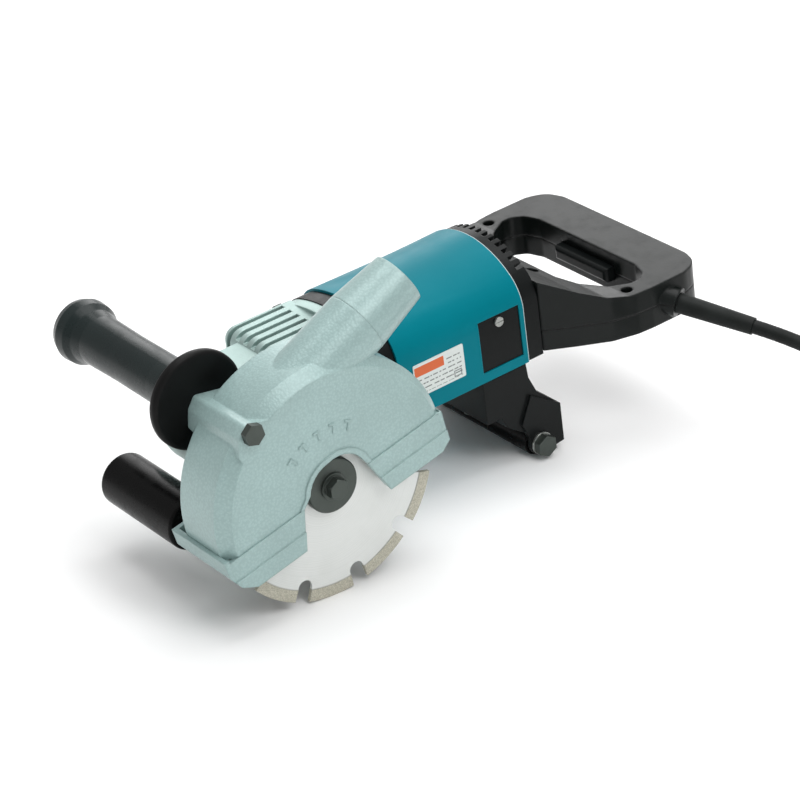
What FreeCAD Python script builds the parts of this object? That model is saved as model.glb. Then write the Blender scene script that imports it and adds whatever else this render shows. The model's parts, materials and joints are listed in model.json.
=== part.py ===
import FreeCAD
import Part
import math
import os

os.makedirs("parts", exist_ok=True)

# Electric wall chaser with two diamond blades.  All lengths are millimetres.
# Tool frame: X runs along the spindle and is 0 in the middle of the motor, Y runs backwards along the
# motor, Z is up, and the spindle and the motor axes cross at the origin.
# Standing frame: the tool frame tipped about the spindle until the blades and the rear roller touch the
# floor, then lifted so that the floor is Z = 0.
# Everything is written in the standing frame, moved so that the origin is the middle of the tool's footprint.

BLADE_R = 75.0  # 150 mm diamond blades
BLADE_BORE_R = 11.115  # 22.23 mm arbor hole
SEGMENTS = 11
SEGMENT_DEPTH = 7.5
CORE_T = 1.8
SEGMENT_T = 2.4
FRONT_BLADE_X = 108.0  # outer face of the front blade's segments
CUT_WIDTH = 27.0  # distance between the outer faces of the two blades
FLANGE_R = 17.3
SLEEVE_R = 11.06

MOTOR_HALF_W = 51.0
MOTOR_TOP_REAR = 47.9  # height of the arched top above the motor axis, at the back
MOTOR_TOP_FRONT = 43.0
MOTOR_BELLY_R = 48.5  # round underside
MOTOR_FLAT_TOP = 12.0  # the side flats run between these two heights
MOTOR_FLAT_LOW = -25.0
MOTOR_CORNER = 27.5
MOTOR_Y0 = 96.0
MOTOR_Y1 = 194.0
WALL = 3.0
HOUSING_SCREW_SPOTS = [(x, z) for x in (-39.5, 39.5) for z in (-29.0, 29.0)]

NECK_R = 33.0
GEAR_HALF_W = 38.0
GEAR_TOP = 38.0
GEAR_FRONT_Y = 27.5
NOSE_R = 33.5
NOSE_X0 = -24.0

GUARD_TILT = 11.3  # guard turned about the spindle, front down, as it stands
GUARD_R = 79.8
SHOE_R = 81.5
GUARD_X0 = 74.0
GUARD_X1 = 116.0
FACE_EDGE_R = 74.4  # edge of the flat face, inside the bevel
BASE_Z = -24.2
SHOE_TOP = 1.0
SHOE_STEP = -12.5
DUCT_R = 20.5
NOZZLE_R = 17.2
NOZZLE_L = 36.0
NOZZLE_BORE_R = 15.0
NOZZLE_BORE_L = 14.0
DUCT_X = 95.0
DUCT_ANGLE = 14.2
SEAM_Y = 58.6
SEAM_Z = 73.5

GRIP_BOLT_Y = -37.4  # side grip axis in the guard's own frame
GRIP_BOLT_Z = 68.4
FRONT_ROLLER_Y = -63.8
FRONT_ROLLER_Z = -13.0
FRONT_ROLLER_R = 16.9

REAR_ROLLER_Y = 195.0
REAR_ROLLER_Z = -84.5
REAR_ROLLER_R = 9.6
REAR_ROLLER_HALF = 47.5
FOOT_SCREW_X = 24.0
FOOT_SCREW_Y = 163.0

HANDLE_HALF_W = 80.0
HANDLE_TOP = 5.0
HANDLE_BOTTOM = -23.0
HANDLE_SPLIT = -9.0
HANDLE_Y0 = 206.4
HANDLE_Y1 = 317.5

CORD_R = 4.6
COIL_MEAN_R = 51.8  # the put-away length is wound four turns wide and two turns high
GLAND_START = (77.0, 286.5, -10.0)
GLAND_DIRECTION = (0.86, 0.46, -0.22)
GLAND_LENGTH = 58.0

# tilt that puts the blades and the rear roller on one plane
ROLLER_REACH = math.hypot(REAR_ROLLER_Y, REAR_ROLLER_Z)
STAND_TILT = math.degrees(
    math.atan2(-REAR_ROLLER_Z, REAR_ROLLER_Y)
    - math.asin((BLADE_R - REAR_ROLLER_R) / ROLLER_REACH)
)

V = FreeCAD.Vector
X_AXIS = V(1, 0, 0)
Y_AXIS = V(0, 1, 0)
Z_AXIS = V(0, 0, 1)


def box(x0, x1, y0, y1, z0, z1):
    return Part.makeBox(x1 - x0, y1 - y0, z1 - z0, V(x0, y0, z0))


def rod_x(x0, x1, r, y=0.0, z=0.0):
    return Part.makeCylinder(r, x1 - x0, V(x0, y, z), X_AXIS)


def rod_y(y0, y1, r, x=0.0, z=0.0):
    return Part.makeCylinder(r, y1 - y0, V(x, y0, z), Y_AXIS)


def rod_z(z0, z1, r, x=0.0, y=0.0):
    return Part.makeCylinder(r, z1 - z0, V(x, y, z0), Z_AXIS)


def ring_x(x0, x1, r_out, r_in, y=0.0, z=0.0):
    return rod_x(x0, x1, r_out, y, z).cut(rod_x(x0 - 1, x1 + 1, r_in, y, z))


def ring_y(y0, y1, r_out, r_in, x=0.0, z=0.0):
    return rod_y(y0, y1, r_out, x, z).cut(rod_y(y0 - 1, y1 + 1, r_in, x, z))


def prism_x(points, x0, x1):
    corners = [V(x0, y, z) for y, z in points]
    return Part.Face(Part.makePolygon(corners + corners[:1])).extrude(V(x1 - x0, 0, 0))


def prism_z(points, z0, z1):
    corners = [V(x, y, z0) for x, y in points]
    return Part.Face(Part.makePolygon(corners + corners[:1])).extrude(V(0, 0, z1 - z0))


def hexagon(centre, across_flats, axis, length):
    """Hexagonal prism that starts at centre and runs along axis, which is X, Y or Z."""
    r = across_flats / math.sqrt(3)
    side = Y_AXIS if axis.y == 0 else X_AXIS
    other = axis.cross(side)
    corners = []
    for k in range(6):
        a = math.radians(60 * k + 30)
        corners.append(centre + side * (r * math.cos(a)) + other * (r * math.sin(a)))
    face = Part.Face(Part.makePolygon(corners + corners[:1]))
    return face.extrude(axis * length)


def fuse_all(shapes):
    total = shapes[0].multiFuse(shapes[1:]) if len(shapes) > 1 else shapes[0]
    return total.removeSplitter()


def group(shapes):
    return Part.makeCompound(shapes)


def softened(shape, edges, sizes):
    """Round the given edges with the largest radius in sizes that works."""
    for size in sizes:
        try:
            done = shape.makeFillet(size, edges)
        except Exception:
            continue
        if done.isValid() and done.Solids:
            return done
    return shape


def edges_where(shape, test):
    return [e for e in shape.Edges if test(e)]


def spin_about_x(shape, degrees, y=0.0, z=0.0):
    turned = shape.copy()
    turned.rotate(V(0, y, z), X_AXIS, degrees)
    return turned


# ---------------------------------------------------------------- motor section


def motor_section(inset, y, top):
    """Closed wire: arched top, soft upper corners, flat sides and a round belly."""
    half_w = MOTOR_HALF_W - inset
    half_h = top - inset
    corner = MOTOR_CORNER - inset
    run = half_w - corner
    rise = half_h - corner - MOTOR_FLAT_TOP
    phi = 2 * (math.pi / 4 - math.atan2(rise, run))
    belly = MOTOR_BELLY_R - inset
    reach = math.hypot(half_w, MOTOR_FLAT_LOW)
    touch = math.atan2(MOTOR_FLAT_LOW, half_w) - math.acos(belly / reach)

    def corner_point(angle):
        return run + corner * math.cos(angle), MOTOR_FLAT_TOP + corner * math.sin(angle)

    edges = [Part.Arc(at(-1, corner_point(phi), y), V(0, y, half_h), at(1, corner_point(phi), y)).toShape()]
    for side in (1, -1):
        edges.append(Part.Arc(V(side * half_w, y, MOTOR_FLAT_TOP), at(side, corner_point(phi / 2), y),
                              at(side, corner_point(phi), y)).toShape())
        edges.append(Part.makeLine(V(side * half_w, y, MOTOR_FLAT_LOW), V(side * half_w, y, MOTOR_FLAT_TOP)))
        low = V(side * belly * math.cos(touch), y, belly * math.sin(touch))
        edges.append(Part.makeLine(V(side * half_w, y, MOTOR_FLAT_LOW), low))
    left = V(-belly * math.cos(touch), y, belly * math.sin(touch))
    right = V(belly * math.cos(touch), y, belly * math.sin(touch))
    edges.append(Part.Arc(left, V(0, y, -belly), right).toShape())
    return Part.Wire(Part.__sortEdges__(edges))


def at(side, point, y):
    return V(side * point[0], y, point[1])


def motor_top(y):
    """The housing rises slightly from front to back."""
    share = (y - MOTOR_Y0) / (MOTOR_Y1 - MOTOR_Y0)
    share = min(1.0, max(0.0, share))
    return MOTOR_TOP_FRONT + share * (MOTOR_TOP_REAR - MOTOR_TOP_FRONT)


def motor_solid(inset, y0, y1):
    first = motor_section(inset, y0, motor_top(y0))
    last = motor_section(inset, y1, motor_top(y1))
    return Part.makeLoft([first, last], True, True)


def motor_shell(inset, thickness, y0, y1):
    return motor_solid(inset, y0, y1).cut(motor_solid(inset + thickness, y0 - 1, y1 + 1))


# ---------------------------------------------------------------- motor


WINDOW = (158.0, 190.0, -18.5, 17.0)  # brush window: y from, to, z from, to


def motor_housing():
    shell = motor_shell(0, WALL, MOTOR_Y0, MOTOR_Y1)
    rear = edges_where(shell, lambda e: abs(e.BoundBox.YMin - MOTOR_Y1) < 0.01 and e.BoundBox.YLength < 0.01
                       and max(abs(e.BoundBox.XMax), abs(e.BoundBox.XMin)) > MOTOR_HALF_W - 2.5)
    shell = softened(shell, rear, (0.8, 0.5))
    y0, y1, z0, z1 = WINDOW
    for side in (1, -1):
        x0 = min(side * 44, side * 60)
        shell = shell.cut(box(x0, x0 + 16, y0, y1, z0, z1))
        shell = shell.cut(rod_z(-60, -30, 2.2, side * FOOT_SCREW_X, FOOT_SCREW_Y))
    return shell.cut(housing_screw_holes())


def brush_covers():
    """A flush plastic plate in each side window, with a countersunk hole for its screw."""
    y0, y1, z0, z1 = WINDOW
    plates = []
    for side in (1, -1):
        x0 = min(side * 47.6, side * 50.2)
        plate = box(x0, x0 + 2.6, y0 + 0.15, y1 - 0.15, z0 + 0.15, z1 - 0.15)
        plates.append(plate.cut(rod_x(x0 - 1, x0 + 4, 2.0, 174, 12)))
    return group(plates)


def brush_cover_screws():
    screws = []
    for side in (1, -1):
        head0 = min(side * 50.2, side * 51.6)
        shank0 = min(side * 43.0, side * 50.2)
        head = rod_x(head0, head0 + 1.4, 3.2, 174, 12)
        slot = box(side * 51.6 - 0.7, side * 51.6 + 0.7, 170, 178, 11.6, 12.4)
        screws.append(fuse_all([head.cut(slot), rod_x(shank0, shank0 + 7.2, 1.95, 174, 12)]))
    return group(screws)


def label_plate():
    plate = box(MOTOR_HALF_W, MOTOR_HALF_W + 0.5, 106, 144.5, -13, 9.5)
    corners = edges_where(plate, lambda e: e.BoundBox.XLength > 0.4 and e.BoundBox.YLength < 0.01)
    return softened(plate, corners, (1.0, 0.5))


def fan_ring():
    """Black baffle between gear housing and motor, with air slots along its upper sides."""
    return motor_shell(1.6, 8.0, 84.0, MOTOR_Y0).cut(housing_screw_holes())


def rear_vent_ring():
    """Black ring behind the motor; the notches along its back edge let the cooling air in."""
    ring = motor_shell(1.4, 6.0, MOTOR_Y1, 206.0)
    for k in range(13):
        angle = 90 + (k - 6) * 8
        notch = box(30, 60, 200.5, 207, -1.6, 1.6)
        notch.rotate(V(0, 0, 0), Y_AXIS, -angle)
        ring = ring.cut(notch)
    spider = box(-44, 44, 196, 199, -7, 7)
    seat = ring_y(186.2, 199, 17, 13.02)
    ring = fuse_all([ring, spider.cut(rod_y(190, 200, 13.02)), seat])
    return ring.cut(rod_y(180, 194.2, 13.02))


def rear_cover():
    """Closed dished cap over the back of the motor, inside the vent ring and above the handle."""
    cap = motor_solid(9.5, 199.6, 206.4)
    back = edges_where(cap, lambda e: abs(e.BoundBox.YMin - 206.4) < 0.01 and e.BoundBox.YLength < 0.01)
    return softened(cap, back, (4.0, 2.5, 1.0))


def stator_core():
    core = ring_y(112, 158, 43.5, 27.2)
    for side in (1, -1):
        low = min(side * 41, side * 60)
        core = core.cut(box(-60, 60, 100, 170, low, low + 19))
    return core.common(motor_solid(WALL + 0.1, 105, 165))


def field_coils():
    coils = []
    for y0 in (104.0, 158.3):
        for side in (1, -1):
            half = ring_y(y0, y0 + 7.6, 40.0, 29.0)
            keep = box(-60, 60, y0 - 1, y0 + 9, min(side * 6, side * 60), max(side * 6, side * 60))
            coils.append(half.common(keep))
    return group(coils)


def armature_core():
    core = rod_y(112, 158, 26.4)
    for k in range(12):
        slot = box(-1.2, 1.2, 111, 159, 18.0, 27.0)
        slot.rotate(V(0, 0, 0), Y_AXIS, 30 * k)
        core = core.cut(slot)
    return core.cut(rod_y(100, 170, 7.0))


def armature_shaft():
    return fuse_all([rod_y(58, 108, 6.0), rod_y(108, 166.5, 7.0), rod_y(166.5, 193, 5.0)])


def commutator():
    drum = rod_y(167, 181, 15.0)
    for k in range(24):
        slot = box(-0.4, 0.4, 166, 178.5, 13.8, 16)
        slot.rotate(V(0, 0, 0), Y_AXIS, 15 * k)
        drum = drum.cut(slot)
    return drum.cut(rod_y(160, 190, 5.0))


def cooling_fan():
    hub = rod_y(97.5, 103.2, 9.0)
    disc = rod_y(101.6, 103.2, 38.0)
    blades = []
    for k in range(12):
        vane = box(8, 37.5, 97.5, 101.8, -0.7, 0.7)
        vane.rotate(V(0, 0, 0), Y_AXIS, 30 * k)
        blades.append(vane)
    return fuse_all([hub, disc] + blades).cut(rod_y(90, 110, 6.0))


def ball_bearing(y0, y1, r_out, r_in):
    """Deep groove bearing drawn as one body: two races joined by a recessed shield."""
    body = ring_y(y0, y1, r_out, r_in)
    mid = (r_out + r_in) / 2
    band = (r_out - r_in) * 0.22
    for y in (y0 - 1, y1 - 0.6):
        body = body.cut(ring_y(y, y + 1.6, mid + band, mid - band))
    return body


def carbon_brushes():
    return group([box(min(s * 15.2, s * 34), max(s * 15.2, s * 34), 170, 178, -4, 4) for s in (1, -1)])


def brush_holders():
    holders = []
    for side in (1, -1):
        lo = min(side * 17.5, side * 46.5)
        tube = box(lo, lo + 29, 167.5, 180.5, -6.5, 6.5)
        holders.append(tube.cut(box(lo - 1, lo + 30, 169.95, 178.05, -4.05, 4.05)))
    return group(holders)


def brush_springs():
    """Coil spring behind each brush, drawn as its envelope tube."""
    return group([ring_x(min(s * 34, s * 45), max(s * 34, s * 45), 3.6, 2.4, 174) for s in (1, -1)])


# ---------------------------------------------------------------- gear head


PLATE_HALF = 33.5
PLATE_SCREW = 26.6


def square_plate(x0, x1):
    """Plate with round corners, square to the spindle."""
    plate = box(x0, x1, -PLATE_HALF, PLATE_HALF, -PLATE_HALF, PLATE_HALF)
    corners = edges_where(plate, lambda e: e.BoundBox.XLength > 2)
    return softened(plate, corners, (6.9, 5.0))


def gear_housing():
    """Cast head: a slotted box behind and a round nose about the spindle on the blade side."""
    block = box(-GEAR_HALF_W, GEAR_HALF_W, GEAR_FRONT_Y, 78, -GEAR_TOP, GEAR_TOP)
    ridge = edges_where(block, lambda e: abs(e.BoundBox.YMax - GEAR_FRONT_Y) < 0.01
                        or (e.BoundBox.YLength > 40 and e.BoundBox.XLength < 0.01))
    block = softened(block, ridge, (9.0, 7.0, 5.0))
    nose = rod_x(NOSE_X0, GEAR_HALF_W, NOSE_R)
    rim = edges_where(nose, lambda e: abs(e.BoundBox.XMax - NOSE_X0) < 0.01)
    nose = softened(nose, rim, (6.0, 4.0))
    bridge = box(NOSE_X0 + 5, GEAR_HALF_W, 0, 45, -NOSE_R, NOSE_R)
    outer = fuse_all([block, nose, bridge, square_plate(GEAR_HALF_W - 7, GEAR_HALF_W)])
    flange = motor_solid(2.2, 76, 84)
    outer = fuse_all([outer, flange])
    for k in range(6):
        outer = outer.cut(cooling_slot(-30.0 + 8.2 * k))
    for y in (-PLATE_SCREW, PLATE_SCREW):
        for z in (-PLATE_SCREW, PLATE_SCREW):
            outer = outer.cut(rod_x(20, 46, 2.3, y, z))
    outer = outer.cut(rod_x(-20, GEAR_HALF_W + 1, 29.5))
    outer = outer.cut(rod_y(14, 60, 15.0))
    outer = outer.cut(rod_y(58, 66, 9.0))
    outer = outer.cut(rod_y(65.8, 90, 17.02))
    outer = outer.cut(motor_solid(12.0, 78.5, 90))
    return outer.cut(housing_screw_holes())


def cooling_slot(x0):
    """Air groove that runs forwards along the top and bends down over the front edge."""
    top = box(x0, x0 + 3.8, GEAR_FRONT_Y + 9, 70, GEAR_TOP - 4.6, GEAR_TOP + 1)
    bend = ring_x(x0, x0 + 3.8, 10.0, 4.4, GEAR_FRONT_Y + 9, GEAR_TOP - 9)
    bend = bend.common(box(-60, 60, GEAR_FRONT_Y - 2, GEAR_FRONT_Y + 9.01, GEAR_TOP - 9, 60))
    front = box(x0, x0 + 3.8, GEAR_FRONT_Y - 1, GEAR_FRONT_Y + 4.6, 8, GEAR_TOP - 8.99)
    slot = fuse_all([top, bend, front])
    if x0 + 3.8 > NOSE_X0 + 4:
        slot = slot.cut(box(-60, 60, 0, GEAR_FRONT_Y + 6, 0, NOSE_R + 0.8))
    return slot


def housing_screws():
    screws = []
    for x, z in HOUSING_SCREW_SPOTS:
        head = rod_y(71.0, 76.0, 4.2, x, z).cut(hexagon(V(x, 70.5, z), 4.0, Y_AXIS, 3.0))
        screws.append(fuse_all([head, rod_y(75.5, 100, 2.45, x, z)]))
    return group(screws)


def housing_screw_holes():
    """Counterbored holes for the four long screws that join head, baffle and motor."""
    holes = []
    for x, z in HOUSING_SCREW_SPOTS:
        holes.append(rod_y(60, 76, 4.3, x, z))
        holes.append(rod_y(75, 101, 2.5, x, z))
    return group(holes)


def bearing_box():
    """Round neck bolted to the side of the gear housing; the guard turns on it."""
    neck = rod_x(GEAR_HALF_W + 6, 71.5, NECK_R)
    plate = square_plate(GEAR_HALF_W, GEAR_HALF_W + 6)
    spigot = rod_x(30, GEAR_HALF_W, 29.45)
    body = fuse_all([neck, plate, spigot])
    body = body.cut(rod_x(29, 56, 21.02))
    body = body.cut(rod_x(50, 73, 13.0))
    body = body.cut(rod_x(60, 68.2, 16.02))
    body = body.cut(rod_x(68, 73, 16.02))
    for y in (-PLATE_SCREW, PLATE_SCREW):
        for z in (-PLATE_SCREW, PLATE_SCREW):
            body = body.cut(rod_x(35, 46, 2.3, y, z))
    return body


def bearing_box_screws():
    screws = []
    for y in (-PLATE_SCREW, PLATE_SCREW):
        for z in (-PLATE_SCREW, PLATE_SCREW):
            head = rod_x(44, 48, 3.9, y, z).cut(hexagon(V(46, y, z), 4.0, X_AXIS, 3.0))
            screws.append(fuse_all([head, rod_x(24, 44, 2.25, y, z)]))
    return group(screws)


def spindle():
    thick = rod_x(-19, 60, 8.0)
    collar = rod_x(52.5, 60.2, 10.5)
    nose = rod_x(60, 76, 7.5)
    tip = rod_x(76, 113.2, 7.0)
    whole = fuse_all([thick, collar, nose, tip])
    return whole.cut(rod_x(90, 120, 3.3))


def bearing_x(x0, x1, r_out, r_in):
    body = ring_x(x0, x1, r_out, r_in)
    mid = (r_out + r_in) / 2
    band = (r_out - r_in) * 0.22
    for x in (x0 - 1, x1 - 0.6):
        body = body.cut(ring_x(x, x + 1.6, mid + band, mid - band))
    return body


GEAR_TEETH = 30
PINION_TEETH = 9
CONE_OUT = 27.0  # pitch cone distance at the outer end of the teeth
CONE_IN = 20.0
PINION_CONE = math.atan2(PINION_TEETH, GEAR_TEETH)


def pitch_point(distance, height):
    """Point in the plane of both axes: distance along the pitch line, height towards the pinion."""
    away = -distance * math.sin(PINION_CONE) + height * math.cos(PINION_CONE)
    back = distance * math.cos(PINION_CONE) + height * math.sin(PINION_CONE)
    return away, back


def bevel_tooth(distance_in, distance_out, low, high, half_low, half_high):
    """Tapered tooth on the pitch line, pointing to where the two shafts cross."""
    wires = []
    for distance in (distance_in, distance_out):
        k = distance / CONE_OUT
        corners = []
        for height, half in ((low, -half_low), (high, -half_high), (high, half_high), (low, half_low)):
            x, y = pitch_point(distance, height * k)
            corners.append(V(x, y, half * k))
        wires.append(Part.makePolygon(corners + corners[:1]))
    return Part.makeLoft(wires, True, True)


def bevel_gear():
    inner = pitch_point(CONE_IN, -1.7 * CONE_IN / CONE_OUT)
    outer = pitch_point(CONE_OUT, -1.7)
    back = outer[0] - 6.0
    outline = [(inner[0], 8.0), inner, outer, (back, outer[1])]
    outline += [(back, 12.5), (back - 2.0, 12.5), (back - 2.0, 8.0)]
    points = [V(x, r, 0) for x, r in outline]
    blank = Part.Face(Part.makePolygon(points + points[:1])).revolve(V(0, 0, 0), X_AXIS, 360)
    tooth = bevel_tooth(CONE_IN + 0.2, CONE_OUT - 0.2, -2.2, 1.3, 1.5, 0.75)
    teeth = [spin_about_x(tooth, 360.0 * k / GEAR_TEETH) for k in range(GEAR_TEETH)]
    return fuse_all([blank] + teeth)


def pinion():
    inner = pitch_point(CONE_IN, 1.7 * CONE_IN / CONE_OUT)
    outer = pitch_point(CONE_OUT, 1.7)
    outline = [(0, inner[1]), (-inner[0], inner[1]), (-outer[0], outer[1]), (-outer[0], 31.5), (0, 31.5)]
    points = [V(r, y, 0) for r, y in outline]
    blank = Part.Face(Part.makePolygon(points + points[:1])).revolve(V(0, 0, 0), Y_AXIS, 360)
    tooth = bevel_tooth(CONE_IN + 0.2, CONE_OUT - 0.2, 2.3, -1.3, 1.5, 0.75)
    teeth = []
    for k in range(PINION_TEETH):
        turned = tooth.copy()
        turned.rotate(V(0, 0, 0), Y_AXIS, 360.0 * (k + 0.5) / PINION_TEETH)
        teeth.append(turned)
    return fuse_all([blank, rod_y(31, 58, 6.0)] + teeth)


# ---------------------------------------------------------------- blades


def diamond_blade(outer_x, phase):
    """Steel core with segments sintered on the rim and a round-bottomed gullet between segments."""
    core_x = outer_x - (SEGMENT_T - CORE_T) / 2 - CORE_T
    core = rod_x(core_x, core_x + CORE_T, BLADE_R - SEGMENT_DEPTH)
    rim = ring_x(outer_x - SEGMENT_T, outer_x, BLADE_R, BLADE_R - SEGMENT_DEPTH)
    blade = fuse_all([core, rim])
    pitch = 360.0 / SEGMENTS
    gullet_r = 4.9
    depth_r = BLADE_R - SEGMENT_DEPTH - 1.5
    for k in range(SEGMENTS):
        cut = rod_x(outer_x - 4, outer_x + 1, gullet_r, 0, depth_r)
        mouth = prism_x([(-gullet_r, depth_r), (gullet_r, depth_r), (gullet_r + 0.6, BLADE_R + 2),
                         (-gullet_r - 0.6, BLADE_R + 2)], outer_x - 4, outer_x + 1)
        blade = blade.cut(spin_about_x(cut.fuse(mouth), phase + pitch * k))
    return blade.cut(rod_x(outer_x - 5, outer_x + 5, BLADE_BORE_R))


REAR_BLADE_X = FRONT_BLADE_X - CUT_WIDTH + SEGMENT_T
REAR_CORE_X0 = REAR_BLADE_X - (SEGMENT_T - CORE_T) / 2 - CORE_T
FRONT_CORE_X0 = FRONT_BLADE_X - (SEGMENT_T - CORE_T) / 2 - CORE_T


def inner_flange():
    disc = rod_x(76, REAR_CORE_X0, FLANGE_R)
    sleeve = rod_x(REAR_CORE_X0 - 1, FRONT_BLADE_X - 0.3, SLEEVE_R)
    return fuse_all([disc, sleeve]).cut(rod_x(70, 120, 7.0))


def blade_spacers():
    start = REAR_CORE_X0 + CORE_T
    step = (FRONT_CORE_X0 - start) / 3
    return group([ring_x(start + k * step, start + (k + 1) * step, FLANGE_R, BLADE_BORE_R) for k in range(3)])


def outer_flange():
    x0 = FRONT_CORE_X0 + CORE_T
    disc = rod_x(x0, 113.2, FLANGE_R)
    front = edges_where(disc, lambda e: abs(e.BoundBox.XMin - 113.2) < 0.01)
    disc = softened(disc, front, (1.2, 0.8))
    disc = disc.cut(rod_x(x0 - 1, 113.2, 7.0))
    return disc.cut(ring_x(x0 - 1, 109.6, 15.0, 7.5))


def clamp_bolt():
    collar = rod_x(113.2, 114.6, 8.6)
    head = hexagon(V(114.6, 0, 0), 12.0, X_AXIS, 5.4)
    head = head.common(Part.makeCone(9.4, 6.2, 5.4, V(114.6, 0, 0), X_AXIS).fuse(rod_x(114.6, 118.6, 9)))
    return fuse_all([collar, head, rod_x(91, 114, 3.25)])


# ---------------------------------------------------------------- guard, in its own frame


def duct_line():
    a = math.radians(DUCT_ANGLE)
    return V(0, math.cos(a), math.sin(a))


def duct_rod(r0, r1, start, length):
    """Cone or cylinder along the dust duct; start is measured forwards (-) or backwards (+) from the seam."""
    axis = duct_line()
    base = V(DUCT_X, SEAM_Y, SEAM_Z) + axis * start
    if abs(r0 - r1) < 1e-6:
        return Part.makeCylinder(r0, length, base, axis)
    return Part.makeCone(r0, r1, length, base, axis)


def guard_blank(x0, x1, inset):
    """Round top, straight front and back, flat base; inset shrinks it for the cavity."""
    r = GUARD_R - inset
    disc = rod_x(x0, x1, r)
    low = prism_x([(-r, 0), (r - 1.0, 0), (r - 2.5, -20), (r - 8, BASE_Z + 2), (-r + 14, BASE_Z + 2),
                   (-r + 3, -14)], x0, x1)
    upper = box(x0, x1, -r - 1, r + 1, -1, r + 1)
    body = disc.common(upper).fuse(low).removeSplitter()
    return body


def bevel_room(inset):
    """Everything inside the 45 degree bevel round the face; below the spindle there is no bevel."""
    r = FACE_EDGE_R - inset
    taper = Part.makeCone(r + 60, r, 60, V(GUARD_X1 - 60, 1.8, -1.5), X_AXIS)
    return taper.fuse(box(GUARD_X0 - 1, GUARD_X1 + 1, -90, 90, -60, 0))


def rounded_guard_blank():
    """The blank with its front edge bevelled; the bevel is wider at the front of the tool."""
    body = guard_blank(GUARD_X0, GUARD_X1, 0)
    body = body.common(bevel_room(0)).removeSplitter()
    arcs = edges_where(body, lambda e: e.BoundBox.ZMax > 40 and e.BoundBox.XMin > 100
                       and e.BoundBox.YLength > 60)
    return softened(body, arcs, (3.5, 2.5, 1.5))


def arch_points(grow):
    """Outline of the blade opening in the face: flared legs and a round head about the spindle."""
    head = 18.8 + grow
    points = [(-34.7 - grow, BASE_Z - 8), (-24.0 - grow, 1.0)]
    first = math.degrees(math.atan2(9.0, -24.0 - grow))
    last = math.degrees(math.atan2(9.0, 24.0 + grow))
    for k in range(13):
        a = math.radians(first + (last - first) * k / 12.0)
        stretch = 1.0 + 0.22 * max(0.0, math.cos(a))
        points.append((head * stretch * math.cos(a), head * stretch * math.sin(a)))
    points += [(24.0 + grow, 1.0), (34.7 + grow, BASE_Z - 8)]
    return points


def guard_cover():
    """Cast front half of the blade case: face, wrap-round rim, bolt boss and dust duct."""
    outer = rounded_guard_blank()
    outer = outer.fuse(duct_rod(DUCT_R, DUCT_R, -62, 62))
    boss_view = [(-46.0, 47), (-50.0, 58), (-46.0, 68.5), (-39.5, 74.6), (-20.5, 67.0), (-17.0, 52)]
    boss = prism_x(boss_view, 64, GUARD_X1)
    boss_edges = edges_where(boss, lambda e: e.BoundBox.XLength > 50)
    boss = softened(boss, boss_edges, (3.0, 2.0))
    outer = outer.fuse(boss).removeSplitter()
    cavity = guard_blank(GUARD_X0 + 3, GUARD_X1 - 3.2, 3)
    cavity = cavity.common(bevel_room(3.7))
    below = box(GUARD_X0 + 3, GUARD_X1 - 3.2, -72, 70, BASE_Z - 5, BASE_Z + 6)
    back = rod_x(GUARD_X0 - 1, GUARD_X0 + 4, GUARD_R - 3.2).common(box(70, 80, -90, 90, -1, 90))
    back = back.fuse(box(GUARD_X0 - 1, GUARD_X0 + 4, -GUARD_R + 3.2, GUARD_R - 6, BASE_Z - 5, 0))
    bore = duct_rod(DUCT_R - 3, DUCT_R - 3, -45, 50)
    shell = outer.cut(cavity).cut(below).cut(back).cut(bore)
    shell = shell.cut(prism_x(arch_points(0), GUARD_X1 - 5, GUARD_X1 + 5))
    rim = prism_x(arch_points(3.2), GUARD_X1 - 0.5, GUARD_X1 + 1.0)
    rim = rim.cut(prism_x(arch_points(0), GUARD_X1 - 5, GUARD_X1 + 5))
    rim = rim.common(box(110, 120, -40, 40, SHOE_TOP + 0.3, 60))
    shell = shell.fuse(rim)
    for k in range(5):
        tick = box(GUARD_X1 - 0.3, GUARD_X1 + 0.7, -0.8, 0.8, 35.5, 42)
        tick = tick.fuse(box(GUARD_X1 - 0.3, GUARD_X1 + 0.7, -3.4, 0.8, 40.6, 42))
        shell = shell.fuse(spin_about_x(tick, 30.0 - 15.8 * k))
    shell = shell.cut(rod_x(60, 120, 4.1, GRIP_BOLT_Y, GRIP_BOLT_Z)).cut(blade_room())
    return keep_largest(shell.removeSplitter())


def keep_largest(shape):
    return max(shape.Solids, key=lambda s: s.Volume)


def guard_back():
    """Rear plate of the blade case with the split collar that grips the bearing box."""
    inside = GUARD_R - 3.4
    plate = rod_x(GUARD_X0, GUARD_X0 + 3, inside).common(box(70, 80, -90, 90, -0.5, 90))
    low = prism_x([(-inside, 0), (inside - 3, 0), (inside - 4.5, -20), (inside - 9, BASE_Z + 2.2),
                   (-inside + 14, BASE_Z + 2.2), (-inside + 3, -14)], GUARD_X0, GUARD_X0 + 3)
    collar = rod_x(64.5, GUARD_X0, 40.0)
    ears = box(64.5, GUARD_X0, -7, 7, -52, -36)
    body = fuse_all([plate, low, collar, ears])
    body = body.cut(rod_x(60, 80, NECK_R + 0.05))
    body = body.cut(box(60, GUARD_X0 + 0.5, -1.5, 1.5, -60, -30))
    body = body.cut(rod_y(-9, 9, 2.6, 69.2, -45))
    body = body.cut(box(GUARD_X0 - 1, GUARD_X0 + 4, -50, -16, 47, 90))
    return keep_largest(body)


def collar_screw():
    head = rod_y(-11.5, -7, 4.3, 69.2, -45).cut(hexagon(V(69.2, -12, -45), 4.0, Y_AXIS, 3.2))
    return fuse_all([head, rod_y(-7.5, 10, 2.55, 69.2, -45)])


def blade_room():
    """Space swept by the two blades, with running room."""
    return rod_x(GUARD_X0 + 4, FRONT_BLADE_X + 1.0, BLADE_R + 1.0)


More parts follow.
